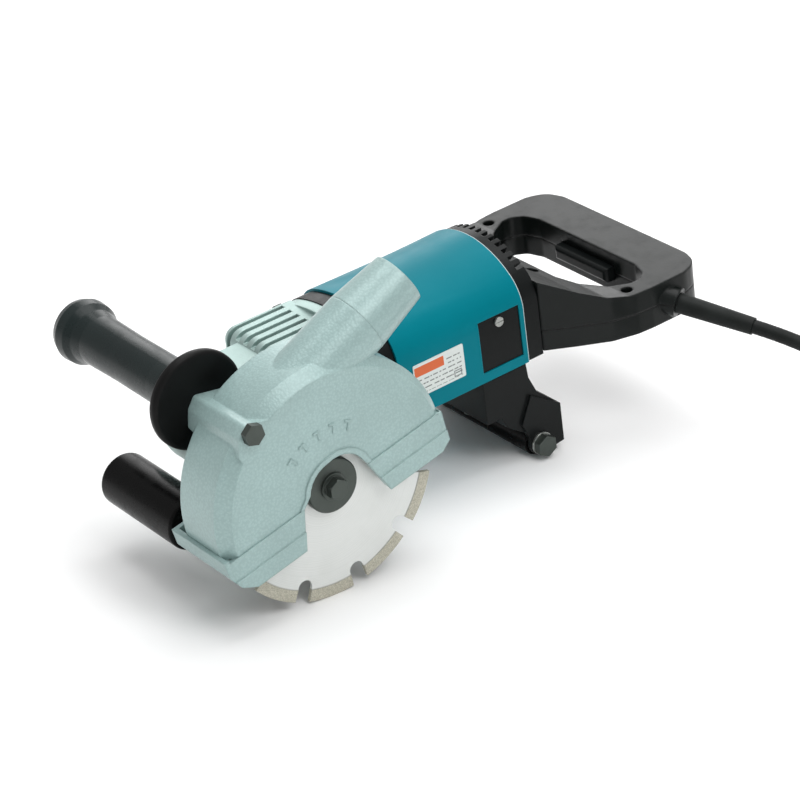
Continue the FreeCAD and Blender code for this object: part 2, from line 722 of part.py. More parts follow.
def base_shoe():
    """Channel round the foot of the guard, open between the blades; its far wall carries the front roller."""
    skin = SHOE_TOP
    r = SHOE_R
    outline = [(-r - 1.2, skin + 2), (-r - 1.2, -8), (-r + 3.5, -18), (-r + 13, BASE_Z), (r - 9, BASE_Z),
               (r - 2.2, -19.5), (r - 1.2, skin)]
    outer = prism_x(outline, 62, 117.2)
    inner = [(-r + 2.2, 20), (-r + 2.2, -9), (-r + 6, -17.5), (-r + 15, BASE_Z + 2.1), (-r + 15, BASE_Z - 9),
             (r - 12, BASE_Z - 9), (r - 12, BASE_Z + 2.1), (r - 4.2, -17.5), (r - 4.2, 20)]
    space = prism_x(inner, 65, 120)
    body_room = guard_blank(GUARD_X0, GUARD_X1, 0)
    walls = outer.cut(space).cut(body_room)
    face = prism_x(outline, GUARD_X1, 117.0)
    face = face.cut(box(110, 120, -100, 100, skin, 30))
    lower = prism_x(outline, GUARD_X1, 117.9).cut(box(110, 120, -100, 100, SHOE_STEP, 30))
    face = face.fuse(lower).cut(prism_x(arch_points(0), 110, 120))
    shoe = walls.fuse(face).removeSplitter()
    shoe = shoe.cut(box(60, 65.01, -30, 100, -60, 30)).cut(box(60, 73.8, 20, 100, -60, 30))
    shoe = shoe.cut(rod_x(60, 66, 5.05, FRONT_ROLLER_Y, FRONT_ROLLER_Z)).cut(blade_room())
    shoe = shoe.cut(rod_x(60, GUARD_X0 - 0.5, 41.0))
    return group([piece for piece in shoe.Solids if piece.Volume > 1000])


def dust_nozzle():
    """Tapered hose spigot; the last part of its bore is a true cylinder for a hose adaptor."""
    tube = duct_rod(DUCT_R, NOZZLE_R, 0, NOZZLE_L)
    taper = duct_rod(DUCT_R - 3, NOZZLE_BORE_R, 0, NOZZLE_L - NOZZLE_BORE_L)
    bore = duct_rod(NOZZLE_BORE_R, NOZZLE_BORE_R, NOZZLE_L - NOZZLE_BORE_L - 0.01, NOZZLE_BORE_L + 1)
    return keep_largest(tube.cut(taper).cut(bore))


def grip_bolt():
    """Hexagon bolt in the front of the same boss."""
    head = hexagon(V(GUARD_X1, GRIP_BOLT_Y, GRIP_BOLT_Z), 12.0, X_AXIS, 4.6)
    return fuse_all([head, rod_x(109, GUARD_X1 + 0.2, 4.0, GRIP_BOLT_Y, GRIP_BOLT_Z)])


def grip_stud():
    """Threaded stud moulded into the grip; it screws into the back of the guard's boss."""
    return rod_x(30, 79.5, 4.0, GRIP_BOLT_Y, GRIP_BOLT_Z)


def grip_flange():
    """Round hand stop between the grip and the guard."""
    disc = ring_x(57, 63.9, 30.8, 4.02, GRIP_BOLT_Y, GRIP_BOLT_Z)
    rims = edges_where(disc, lambda e: e.BoundBox.XLength < 0.01 and e.BoundBox.ZLength > 60)
    return softened(disc, rims, (2.9, 2.0, 1.0))


def side_grip():
    """Turned grip: flared foot against the hand stop, slight waist and a round end knob."""
    profile = [(56.9, 0), (56.9, 16.6), (50, 16.2), (30, 15.4), (-12, 15.2), (-42, 15.8), (-50, 17.2)]
    profile += [(-55, 19.7), (-62, 20.2), (-67, 18.5), (-69.5, 14.0), (-70.4, 7.0), (-70.6, 0)]
    knots = [V(x, GRIP_BOLT_Y, GRIP_BOLT_Z + r) for x, r in profile]
    face = Part.Face(Part.makePolygon(knots + knots[:1]))
    body = face.revolve(V(0, GRIP_BOLT_Y, GRIP_BOLT_Z), X_AXIS, 360)
    if body.Volume < 0:
        body.reverse()
    return body.cut(rod_x(29.5, 60, 4.0, GRIP_BOLT_Y, GRIP_BOLT_Z))


def front_roller():
    roll = rod_x(-27, 50, FRONT_ROLLER_R, FRONT_ROLLER_Y, FRONT_ROLLER_Z)
    ends = edges_where(roll, lambda e: e.BoundBox.XLength < 0.01)
    roll = softened(roll, ends, (2.2, 1.0))
    return roll.cut(rod_x(-22, 60, 5.08, FRONT_ROLLER_Y, FRONT_ROLLER_Z))


def front_roller_shaft():
    shaft = rod_x(-21.5, 66, 5.0, FRONT_ROLLER_Y, FRONT_ROLLER_Z)
    collar = ring_x(51, 62, 9.0, 4.9, FRONT_ROLLER_Y, FRONT_ROLLER_Z)
    return fuse_all([shaft, collar])


# ---------------------------------------------------------------- rear foot


def rear_foot():
    """Leg below the back of the motor, with a forked end for the rear roller."""
    y0 = REAR_ROLLER_Y
    z0 = REAR_ROLLER_Z
    side_view = [(157, -24), (191, -24), (192, -36), (197, -48), (213, -63), (213, z0 - 5.5), (209, z0 - 5.5),
                 (205, z0 + 11), (184, z0 + 11.5), (172, -64), (168, -55.5), (157, -55.5)]
    leg = prism_x(side_view, -50, 50)
    leg = leg.cut(motor_solid(0, 130, 194.01)).cut(motor_solid(1.2, 193.9, 206.6))
    leg = leg.cut(rod_x(-60, 60, REAR_ROLLER_R + 1.2, y0, z0))
    leg = leg.cut(box(-60, 60, 193.9, 230, -30, 0))
    parts = [leg]
    for x in (-52.0, REAR_ROLLER_HALF + 0.5):
        cheek = prism_x([(191, -48), (213, -63), (213, z0 - 5.5), (y0 + 6, z0 - 7.2), (y0 - 7.6, z0 - 2),
                         (y0 - 7.8, z0 + 6), (182, -66)], x, x + 4.0)
        parts.append(cheek.fuse(rod_x(x, x + 4.0, 8.0, y0, z0)))
    foot = fuse_all(parts)
    for x in (-FOOT_SCREW_X, FOOT_SCREW_X):
        foot = foot.cut(rod_z(-90, -30, 2.2, x, FOOT_SCREW_Y))
    return foot.cut(rod_x(-60, 60, 4.05, y0, z0))


def foot_screws():
    screws = []
    for x in (-FOOT_SCREW_X, FOOT_SCREW_X):
        head = rod_z(-58.5, -55.5, 4.0, x, FOOT_SCREW_Y)
        screws.append(fuse_all([head, rod_z(-56, -38, 2.15, x, FOOT_SCREW_Y)]))
    return group(screws)


def rear_roller():
    roll = rod_x(-REAR_ROLLER_HALF, REAR_ROLLER_HALF, REAR_ROLLER_R, REAR_ROLLER_Y, REAR_ROLLER_Z)
    ends = edges_where(roll, lambda e: e.BoundBox.XLength < 0.01)
    roll = softened(roll, ends, (0.8, 0.5))
    return roll.cut(rod_x(-60, 60, 4.08, REAR_ROLLER_Y, REAR_ROLLER_Z))


def rear_bolt():
    head = hexagon(V(53.5, REAR_ROLLER_Y, REAR_ROLLER_Z), 13.0, X_AXIS, 5.3)
    return fuse_all([head, rod_x(-60, 53.6, 4.0, REAR_ROLLER_Y, REAR_ROLLER_Z)])


def rear_washers():
    return group([ring_x(x, x + 1.5, 7.6, 4.1, REAR_ROLLER_Y, REAR_ROLLER_Z) for x in (52.0, -53.5)])


def rear_nut():
    nut = hexagon(V(-60, REAR_ROLLER_Y, REAR_ROLLER_Z), 13.0, X_AXIS, 6.4)
    return nut.cut(rod_x(-61, -50, 4.0, REAR_ROLLER_Y, REAR_ROLLER_Z))


# ---------------------------------------------------------------- rear handle


def handle_outline():
    w = HANDLE_HALF_W
    half = [(50, HANDLE_Y0), (62, 224), (74, 243), (w - 1, 260), (w, 272), (w, 300)]
    half += [(w - 5, 313), (w - 19, HANDLE_Y1)]
    return half + [(-x, y) for x, y in reversed(half)]


def hole_outline():
    half = [(30, 235.5), (45, 243), (58, 256), (65, 268), (65, 275), (60, 282), (48, 286)]
    return half + [(-x, y) for x, y in reversed(half)]


def handle_body():
    side = [(HANDLE_Y0, HANDLE_BOTTOM), (HANDLE_Y1 + 2, HANDLE_BOTTOM), (HANDLE_Y1 + 2, HANDLE_TOP),
            (256, HANDLE_TOP), (242, 8.0), (227, 14.5), (214, 21.5), (HANDLE_Y0, 25.5)]
    plan = prism_z(handle_outline(), -40, 40)
    uprights = edges_where(plan, lambda e: e.BoundBox.ZLength > 70 and e.BoundBox.YMin > 215)
    plan = softened(plan, uprights, (16.0, 12.0, 8.0))
    blank = plan.common(prism_x(side, -90, 90))
    rims = edges_where(blank, rounding_edge)
    blank = softened(blank, rims, (8.0, 6.5, 5.0, 3.0))
    hole = prism_z(hole_outline(), -60, 60)
    hole = softened(hole, edges_where(hole, lambda e: e.BoundBox.ZLength > 100), (6.0, 4.0))
    body = blank.cut(hole)
    lips = edges_where(body, lambda e: hole_rim(e))
    return softened(body, lips, (4.5, 3.5, 2.5, 1.5))


def rounding_edge(e):
    b = e.BoundBox
    if b.YMax < 250 or b.ZLength > 20:
        return False
    level = abs(b.ZMax - HANDLE_TOP) < 0.01 and b.ZLength < 0.01
    low = abs(b.ZMin - HANDLE_BOTTOM) < 0.01 and b.ZLength < 0.01
    flat_front = b.YLength < 0.01 and b.YMax < 300
    return (level or low) and not flat_front and b.YMin > 242


def hole_rim(e):
    b = e.BoundBox
    inside = max(abs(b.XMin), abs(b.XMax)) < 66 and b.YMin > 255 and b.YMax < 287
    flat = b.ZLength < 0.01 and (abs(b.ZMax - HANDLE_TOP) < 0.01 or abs(b.ZMin - HANDLE_BOTTOM) < 0.01)
    return inside and flat


def handle_spaces():
    """Room inside the handle for the switch and the trigger, and a hollow at its root."""
    spaces = [box(-58, 58, 291.5, 312.5, -18.5, 0.5)]
    spaces.append(box(-26.4, 26.4, 280, 293, -14.4, -3.6))
    spaces.append(box(-38, 38, HANDLE_Y0 + 4, 221, -18, 2))
    return spaces


def gland_axis():
    return V(*GLAND_DIRECTION).normalize()


def handle_half(z0, z1):
    stub = Part.makeCylinder(9.6, 14, V(*GLAND_START) - gland_axis() * 6, gland_axis())
    body = handle_body().fuse(stub)
    for space in handle_spaces():
        body = body.cut(space)
    body = body.cut(Part.makeCylinder(6.62, 60, V(*GLAND_START) - gland_axis() * 12, gland_axis()))
    for x, y in HANDLE_SCREWS:
        body = body.cut(rod_z(-60, 60, 2.1, x, y))
        body = body.cut(rod_z(-4, 60, 3.8, x, y))
    body = body.cut(rod_z(-60, -16, 4.15, LOCK_X, LOCK_Y))
    return keep_largest(body.common(box(-120, 120, 200, 340, z0, z1)).removeSplitter())


HANDLE_SCREWS = [(70.0, 260.5), (-70.0, 260.5), (17.0, 228.5), (-17.0, 228.5)]
LOCK_X = -36.0
LOCK_Y = 303.0


def handle_upper():
    return handle_half(HANDLE_SPLIT, 40)


def handle_lower():
    return handle_half(-40, HANDLE_SPLIT)


def handle_screws():
    screws = []
    for x, y in HANDLE_SCREWS:
        head = rod_z(-4, -1.2, 3.7, x, y).cut(box(x - 2.2, x + 2.2, y - 0.5, y + 0.5, -2.2, 0))
        head = head.cut(box(x - 0.5, x + 0.5, y - 2.2, y + 2.2, -2.2, 0))
        screws.append(fuse_all([head, rod_z(-19, -3.9, 2.05, x, y)]))
    return group(screws)


def trigger():
    blade = box(-26, 26, 278.5, 292.0, -13.9, -4.1)
    front = edges_where(blade, lambda e: abs(e.BoundBox.YMax - 278.5) < 0.01)
    blade = softened(blade, front, (3.0, 2.0, 1.0))
    return fuse_all([blade, box(-30, 30, 291.9, 293.4, -13.0, -5.0)])


def switch_body():
    return box(-30, 30, 299, 312.4, -18.4, 0.4)


def lock_button():
    cap = rod_z(-26.5, -18.6, 4.05, LOCK_X, LOCK_Y)
    rim = edges_where(cap, lambda e: abs(e.BoundBox.ZMax + 26.5) < 0.01)
    return softened(cap, rim, (1.0, 0.5))


# ---------------------------------------------------------------- cord, in the standing frame


def cord_gland():
    """Rubber sleeve that keeps the cord from kinking where it leaves the handle."""
    axis = gland_axis()
    start = V(*GLAND_START)
    root = Part.makeCylinder(6.6, 18, start - axis * 10, axis)
    sleeve = Part.makeCone(6.6, 5.6, GLAND_LENGTH - 8, start + axis * 8, axis)
    return fuse_all([root, sleeve])


def standing(shape):
    """Tool frame to standing frame."""
    placed = shape.copy()
    placed.rotate(V(0, 0, 0), X_AXIS, STAND_TILT)
    placed.translate(V(0, 0, BLADE_R))
    return placed


def standing_point(point):
    a = math.radians(STAND_TILT)
    y = point.y * math.cos(a) - point.z * math.sin(a)
    z = point.y * math.sin(a) + point.z * math.cos(a) + BLADE_R
    return V(point.x, y, z)


def cord_route():
    """Corner points of the free cord, from the end of the gland down to the floor and to the coil."""
    start = standing_point(V(*GLAND_START) + gland_axis() * GLAND_LENGTH)
    before = standing_point(V(*GLAND_START))
    along = (start - before).normalize()
    points = [start, start + along * 40]
    points.append(V(points[1].x + 32, points[1].y + 15.5, points[1].z - 20))
    points.append(V(points[2].x + 30, points[2].y + 14, points[2].z - 35.5))
    points.append(V(points[3].x + 32, points[3].y + 8, CORD_R))
    points.append(V(points[4].x + 36, points[4].y, CORD_R))
    return points


def rounded_route(points):
    """Straight runs joined by tangent arcs; the radius is 0.45 of the shorter run over tan(half turn)."""
    edges = []
    here = points[0]
    for k in range(1, len(points) - 1):
        a = points[k] - points[k - 1]
        b = points[k + 1] - points[k]
        turn = a.getAngle(b)
        cut = 0.45 * min(a.Length, b.Length)
        radius = cut / math.tan(turn / 2)
        ua = V(a).normalize()
        ub = V(b).normalize()
        p0 = points[k] - ua * cut
        p1 = points[k] + ub * cut
        inward = (ub - ua).normalize()
        middle = points[k] + inward * (radius / math.cos(turn / 2) - radius)
        edges.append(Part.LineSegment(here, p0).toShape())
        edges.append(Part.Arc(p0, middle, p1).toShape())
        print("cord bend %d: turn %.0f degrees, radius %.0f mm" % (k, math.degrees(turn), radius))
        here = p1
    edges.append(Part.LineSegment(here, points[-1]).toShape())
    return Part.Wire(edges)


def cord_tube():
    wire = rounded_route(cord_route())
    start = wire.Edges[0].Vertexes[0].Point
    direction = wire.Edges[0].tangentAt(wire.Edges[0].FirstParameter)
    circle = Part.Wire(Part.makeCircle(CORD_R, start, direction))
    tube = wire.makePipeShell([circle], True, False)
    ratio = tube.Volume / (math.pi * CORD_R ** 2 * wire.Length)
    print("cord run %.0f mm, volume ratio %.4f" % (wire.Length, ratio))
    return Part.Solid(tube) if tube.ShapeType != "Solid" else tube


def coil_centre():
    """The cord runs straight into the outermost turn."""
    end = cord_route()[-1]
    return V(end.x, end.y - COIL_MEAN_R - 3 * CORD_R, 0)


def cord_coil():
    """The put-away length as one closed ring."""
    centre = coil_centre()
    inner = COIL_MEAN_R - 4 * CORD_R
    outer = COIL_MEAN_R + 4 * CORD_R
    ring = Part.makeCylinder(outer, 4 * CORD_R, centre, Z_AXIS)
    ring = ring.cut(Part.makeCylinder(inner, 60, centre - V(0, 0, 10), Z_AXIS))
    end = cord_route()[-1]
    room = box(end.x - 80, end.x, end.y - CORD_R - 0.3, end.y + 40, -1, 40)
    corner = box(end.x - 80, end.x - 25, end.y - CORD_R - 3, end.y + 40, -1, 40)
    return keep_largest(ring.cut(room).cut(corner))


def plug():
    """Two-pin mains plug beside the coil, square to its outer turn; the neck sits against the turns."""
    centre = coil_centre()
    x0 = centre.x + COIL_MEAN_R + 3.5 * CORD_R
    y0 = centre.y
    body = box(x0 - 15, x0 + 15, y0 - 82, y0 - 44, 0, 26)
    body = softened(body, body.Edges, (4.0, 3.0))
    neck = Part.makeCone(5.6, 7.5, 30, V(x0, y0 - 16, 13), V(0, -1, 0))
    neck = neck.cut(Part.makeCylinder(COIL_MEAN_R + 4 * CORD_R, 40, centre, Z_AXIS))
    pins = []
    for side in (-1, 1):
        pins.append(rod_y(y0 - 101, y0 - 80, 2.4, x0 + side * 9.5, 13))
    return fuse_all([body, neck] + pins)


# ---------------------------------------------------------------- output

TOOL_PARTS = {
    "motor_housing": motor_housing,
    "brush_covers": brush_covers,
    "brush_cover_screws": brush_cover_screws,
    "label_plate": label_plate,
    "fan_ring": fan_ring,
    "rear_vent_ring": rear_vent_ring,
    "rear_cover": rear_cover,
    "stator_core": stator_core,
    "field_coils": field_coils,
    "armature_core": armature_core,
    "armature_shaft": armature_shaft,
    "commutator": commutator,
    "cooling_fan": cooling_fan,
    "front_motor_bearing": lambda: ball_bearing(66, 76, 17.0, 6.03),
    "rear_motor_bearing": lambda: ball_bearing(186.5, 193.8, 13.0, 5.03),
    "carbon_brushes": carbon_brushes,
    "brush_holders": brush_holders,
    "brush_springs": brush_springs,
    "gear_housing": gear_housing,
    "housing_screws": housing_screws,
    "bearing_box": bearing_box,
    "bearing_box_screws": bearing_box_screws,
    "spindle": spindle,
    "inner_spindle_bearing": lambda: bearing_x(40, 52.4, 21.0, 8.03),
    "outer_spindle_bearing": lambda: bearing_x(60.5, 69, 16.0, 7.53),
    "bevel_gear": bevel_gear,
    "pinion": pinion,
    "blade_rear": lambda: diamond_blade(REAR_BLADE_X, 5.0),
    "blade_front": lambda: diamond_blade(FRONT_BLADE_X, -6.9),
    "inner_flange": inner_flange,
    "blade_spacers": blade_spacers,
    "outer_flange": outer_flange,
    "clamp_bolt": clamp_bolt,
    "rear_foot": rear_foot,
    "foot_screws": foot_screws,
    "rear_roller": rear_roller,
    "rear_bolt": rear_bolt,
    "rear_washers": rear_washers,
    "rear_nut": rear_nut,
    "handle_upper": handle_upper,
    "handle_lower": handle_lower,
    "handle_screws": handle_screws,
    "trigger": trigger,
    "switch_body": switch_body,
    "lock_button": lock_button,
    "cord_gland": cord_gland,
}

GUARD_PARTS = {
    "guard_cover": guard_cover,
    "guard_back": guard_back,
    "collar_screw": collar_screw,
    "base_shoe": base_shoe,
    "dust_nozzle": dust_nozzle,
    "grip_bolt": grip_bolt,
    "grip_stud": grip_stud,
    "grip_flange": grip_flange,
    "side_grip": side_grip,
    "front_roller": front_roller,
    "front_roller_shaft": front_roller_shaft,
}

FLOOR_PARTS = {
    "cord_tube": cord_tube,
    "cord_coil": cord_coil,
    "plug": plug,
}


def all_shapes():
    shapes = {}
    for name, make in TOOL_PARTS.items():
        shapes[name] = standing(make())
    for name, make in GUARD_PARTS.items():
        shapes[name] = standing(spin_about_x(make(), GUARD_TILT))
    return shapes


def footprint_middle(shapes):
    whole = FreeCAD.BoundBox()
    for shape in shapes.values():
        whole.add(shape.optimalBoundingBox(False, False))
    return V(whole.Center.x, whole.Center.y, 0)


def write(name, shape, origin):
    placed = shape.copy()
    placed.translate(V(0, 0, 0) - origin)
    if not placed.isValid():
        print("not valid:", name)
    placed.exportStep("parts/%s.step" % name)
    print("%-24s %8.2f cm3, %d solid(s)" % (name, placed.Volume / 1000, len(placed.Solids)))


print("stand tilt %.4f degrees" % STAND_TILT)
tool_shapes = all_shapes()
middle = footprint_middle(tool_shapes)
print("the spindle axis is %.3f mm in front of the origin" % middle.y)
print("the motor axis is %.3f mm to the side of it" % -middle.x)
print("free cord starts at", standing_point(V(*GLAND_START) + gland_axis() * GLAND_LENGTH) - middle)
for point in cord_route():
    print("cord corner", point - middle)
print("coil centre", coil_centre() - middle)
for name, shape in tool_shapes.items():
    write(name, shape, middle)
for name, make in FLOOR_PARTS.items():
    write(name, make(), middle)
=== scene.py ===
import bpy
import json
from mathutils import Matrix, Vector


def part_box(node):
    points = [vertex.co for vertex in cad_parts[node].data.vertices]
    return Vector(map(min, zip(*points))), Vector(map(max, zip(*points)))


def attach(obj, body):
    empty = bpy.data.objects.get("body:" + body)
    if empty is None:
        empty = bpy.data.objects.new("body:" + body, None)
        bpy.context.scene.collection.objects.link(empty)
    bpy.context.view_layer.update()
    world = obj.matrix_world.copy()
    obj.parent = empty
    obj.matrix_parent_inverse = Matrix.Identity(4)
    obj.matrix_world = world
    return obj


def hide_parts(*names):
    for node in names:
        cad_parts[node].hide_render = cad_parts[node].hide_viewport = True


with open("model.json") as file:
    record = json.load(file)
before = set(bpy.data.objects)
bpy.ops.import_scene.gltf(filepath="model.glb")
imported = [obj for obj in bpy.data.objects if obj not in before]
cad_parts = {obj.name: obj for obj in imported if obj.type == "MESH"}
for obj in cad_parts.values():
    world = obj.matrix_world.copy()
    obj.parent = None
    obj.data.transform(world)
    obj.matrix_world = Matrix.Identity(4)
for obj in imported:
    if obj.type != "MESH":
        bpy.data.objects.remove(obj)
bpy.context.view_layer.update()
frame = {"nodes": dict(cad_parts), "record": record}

import json
import math

import bpy
from mathutils import Matrix, Vector

MM = 0.001
NODES = frame["nodes"]
JOINTS = {j["name"]: j for j in frame["record"]["behaviour"]["joints"]}
SPINDLE = Vector(JOINTS["spindle_spin"]["pos_m"])
MOTOR_DIR = Vector(JOINTS["armature_spin"]["axis"])  # backwards along the motor
MOTOR_UP = Vector((0.0, -MOTOR_DIR.z, MOTOR_DIR.y))
HOUSING_REAR_HIGHLIGHT = 193.2 * MM  # where the painted highlight line begins, measured back from the spindle
HANDLE_SEAM = (-9.35 * MM, -8.65 * MM)  # joint of the handle shells, measured up from the motor axis
SEGMENT_INNER_R = 67.5 * MM  # where the blade's core ends and its diamond segments begin
WELD_BAND = (67.0 * MM, 67.9 * MM)

# ------------------------------------------------------------------ camera

LENS = 144.07
SENSOR = 36.0
CAMERA_AIM = Vector((0.0580, -0.0445, 0.0952))  # the middle of the view
CAMERA_DISTANCE = 1.9
CAMERA_SIDE = math.radians(-35.50)  # round the vertical, from +X
CAMERA_RISE = math.radians(26.67)  # above the floor
CAMERA_ROLL = math.radians(-2.67)


def make_camera():
    data = bpy.data.cameras.new("view")
    data.lens = LENS
    data.sensor_width = SENSOR
    data.clip_end = 30.0
    cam = bpy.data.objects.new("view", data)
    bpy.context.scene.collection.objects.link(cam)
    side = Matrix.Rotation(CAMERA_SIDE + math.pi / 2, 4, "Z")
    rise = Matrix.Rotation(math.pi / 2 - CAMERA_RISE, 4, "X")
    roll = Matrix.Rotation(CAMERA_ROLL, 4, "Z")
    back = Matrix.Translation((0, 0, CAMERA_DISTANCE))
    cam.matrix_world = Matrix.Translation(CAMERA_AIM) @ side @ rise @ roll @ back
    bpy.context.scene.camera = cam


make_camera()

# ------------------------------------------------------------------ node helpers


class Shader:
    """A Principled material with short calls for the nodes that drive it."""

    def __init__(self, name):
        self.mat = bpy.data.materials.new(name)
        self.mat.use_nodes = True
        self.tree = self.mat.node_tree
        self.tree.nodes.clear()
        self.out = self.add("ShaderNodeOutputMaterial")
        self.bsdf = self.add("ShaderNodeBsdfPrincipled")
        self.link(self.bsdf.outputs["BSDF"], self.out.inputs["Surface"])
        self.place = self.add("ShaderNodeTexCoord").outputs["Object"]

    def add(self, kind):
        return self.tree.nodes.new(kind)

    def link(self, a, b):
        self.tree.links.new(a, b)

    def feed(self, socket, value):
        if isinstance(value, bpy.types.NodeSocket):
            self.link(value, socket)
        else:
            socket.default_value = value

    def math(self, operation, a, b=0.0, clamp=False):
        node = self.add("ShaderNodeMath")
        node.operation = operation
        node.use_clamp = clamp
        self.feed(node.inputs[0], a)
        self.feed(node.inputs[1], b)
        return node.outputs[0]

    def dot(self, a, b):
        node = self.add("ShaderNodeVectorMath")
        node.operation = "DOT_PRODUCT"
        self.feed(node.inputs[0], a)
        self.feed(node.inputs[1], b)
        return node.outputs["Value"]

    def along(self, direction, origin=(0.0, 0.0, 0.0)):
        """Distance of a surface point from origin, measured along direction."""
        shift = Vector(direction).dot(Vector(origin))
        return self.math("SUBTRACT", self.dot(self.place, tuple(direction)), shift)

    def noise(self, scale, detail=3.0, rough=0.5, stretch=None):
        node = self.add("ShaderNodeTexNoise")
        node.inputs["Scale"].default_value = scale
        node.inputs["Detail"].default_value = detail
        node.inputs["Roughness"].default_value = rough
        if stretch:
            mapping = self.add("ShaderNodeMapping")
            mapping.inputs["Scale"].default_value = stretch
            self.link(self.place, mapping.inputs["Vector"])
            self.link(mapping.outputs["Vector"], node.inputs["Vector"])
        else:
            self.link(self.place, node.inputs["Vector"])
        return node.outputs["Fac"]

    def cells(self, scale):
        node = self.add("ShaderNodeTexVoronoi")
        node.feature = "SMOOTH_F1"
        node.inputs["Scale"].default_value = scale
        node.inputs["Smoothness"].default_value = 0.6
        self.link(self.place, node.inputs["Vector"])
        return node.outputs["Distance"]

    def ranged(self, value, low, high, to_low=0.0, to_high=1.0):
        node = self.add("ShaderNodeMapRange")
        node.inputs["From Min"].default_value = low
        node.inputs["From Max"].default_value = high
        node.inputs["To Min"].default_value = to_low
        node.inputs["To Max"].default_value = to_high
        self.link(value, node.inputs["Value"])
        return node.outputs["Result"]

    def mix(self, share, a, b):
        node = self.add("ShaderNodeMix")
        node.data_type = "RGBA"
        self.feed(node.inputs["Factor"], share)
        self.feed(node.inputs["A"], rgba(a))
        self.feed(node.inputs["B"], rgba(b))
        return node.outputs["Result"]

    def band(self, value, low, high):
        """1 where value lies between low and high."""
        above = self.math("GREATER_THAN", value, low)
        below = self.math("LESS_THAN", value, high)
        return self.math("MULTIPLY", above, below)

    def bumps(self, steps, soft_edge=0.0):
        """Chain of bump nodes (height, distance, strength) over an optional rounded edge."""
        normal = None
        if soft_edge:
            bevel = self.add("ShaderNodeBevel")
            bevel.samples = 4
            bevel.inputs["Radius"].default_value = soft_edge
            normal = bevel.outputs["Normal"]
        for height, distance, strength in steps:
            bump = self.add("ShaderNodeBump")
            bump.inputs["Strength"].default_value = strength
            bump.inputs["Distance"].default_value = distance
            self.link(height, bump.inputs["Height"])
            if normal:
                self.link(normal, bump.inputs["Normal"])
            normal = bump.outputs["Normal"]
        self.link(normal, self.bsdf.inputs["Normal"])

    def edges(self, radius, sharp=0.93):
        """1 along outer edges and inner corners, 0 on open faces."""
        bevel = self.add("ShaderNodeBevel")
        bevel.samples = 4
        bevel.inputs["Radius"].default_value = radius
        geometry = self.add("ShaderNodeNewGeometry")
        same = self.dot(bevel.outputs["Normal"], geometry.outputs["Normal"])
        return self.ranged(same, 1.0, sharp)

    def colour(self, value):
        self.feed(self.bsdf.inputs["Base Color"], rgba(value))

    def rough(self, value):
        self.feed(self.bsdf.inputs["Roughness"], value)

    def set(self, **values):
        for name, value in values.items():
            self.bsdf.inputs[name.replace("_", " ")].default_value = value


def rgba(value):
    if isinstance(value, bpy.types.NodeSocket):
        return value
    return (value[0], value[1], value[2], 1.0)


def srgb(r, g, b):
    """0 to 255 display values to linear."""
    out = []
    for v in (r, g, b):
        v = v / 255.0
        out.append(v / 12.92 if v <= 0.04045 else ((v + 0.055) / 1.055) ** 2.4)
    return tuple(out)


def scaled(colour, k):
    return tuple(min(1.0, v * k) for v in colour)


# ------------------------------------------------------------------ materials


def moulded(name, base, rough, grain=0.35, speck=0.5, edge=0.0009, shine=0.14):
    """Moulded plastic: slight flow marks in the colour, fine spark-eroded grain, softened edges
    lightened in patches as part wear and part painted highlight.
    """
    s = Shader(name)
    flow = s.ranged(s.noise(14.0, 3.0), 0.35, 0.65)
    dusty = s.ranged(s.noise(95.0, 5.0, 0.65), 0.45, 0.75)
    tone = s.mix(flow, scaled(base, 0.9), scaled(base, 1.1))
    # Edges lightened in patches: part wear, part painted highlight.
    worn_and_highlit = s.math("MULTIPLY", s.edges(0.0011), s.ranged(s.noise(60.0, 4.0), 0.35, 0.65))
    tone = s.mix(s.math("MULTIPLY", worn_and_highlit, 0.35), tone, scaled(base, 1.9))
    s.colour(tone)
    s.rough(s.ranged(dusty, 0.0, 1.0, rough - 0.05, rough + 0.09))
    s.bumps([(s.noise(900.0, 3.0, 0.6), 0.00008, grain), (s.cells(1500.0), 0.00006, speck * 0.5)], edge)
    s.set(Specular_IOR_Level=shine)
    return s


def teal_housing():
    """Teal housing: smooth shell with a painted highlight line along its back edge, and edges lightened
    in patches as part wear and part painted highlight.
    """
    base = srgb(0, 113, 127)
    s = Shader("teal_plastic")
    flow = s.ranged(s.noise(11.0, 3.0), 0.3, 0.7)
    tone = s.mix(flow, scaled(base, 0.94), scaled(base, 1.06))
    back = s.along(MOTOR_DIR, SPINDLE)
    # Painted highlight: a bright line along the back edge of the shell.
    rim = s.math("GREATER_THAN", back, HOUSING_REAR_HIGHLIGHT)
    # Edges lightened in patches: part wear, part painted highlight.
    worn_and_highlit = s.math("MULTIPLY", s.edges(0.0008), s.ranged(s.noise(70.0, 4.0), 0.35, 0.65))
    tone = s.mix(s.math("MULTIPLY", worn_and_highlit, 0.35), tone, srgb(60, 165, 175))
    tone = s.mix(rim, tone, srgb(196, 208, 208))
    s.colour(tone)
    s.rough(s.ranged(s.noise(80.0, 4.0), 0.3, 0.7, 0.34, 0.44))
    s.bumps([(s.noise(650.0, 3.0, 0.55), 0.00006, 0.3), (s.noise(30.0, 2.0), 0.0006, 0.05)], 0.0006)
    s.set(Specular_IOR_Level=0.2, Specular_Tint=(0.12, 0.85, 1.0, 1.0))
    return s


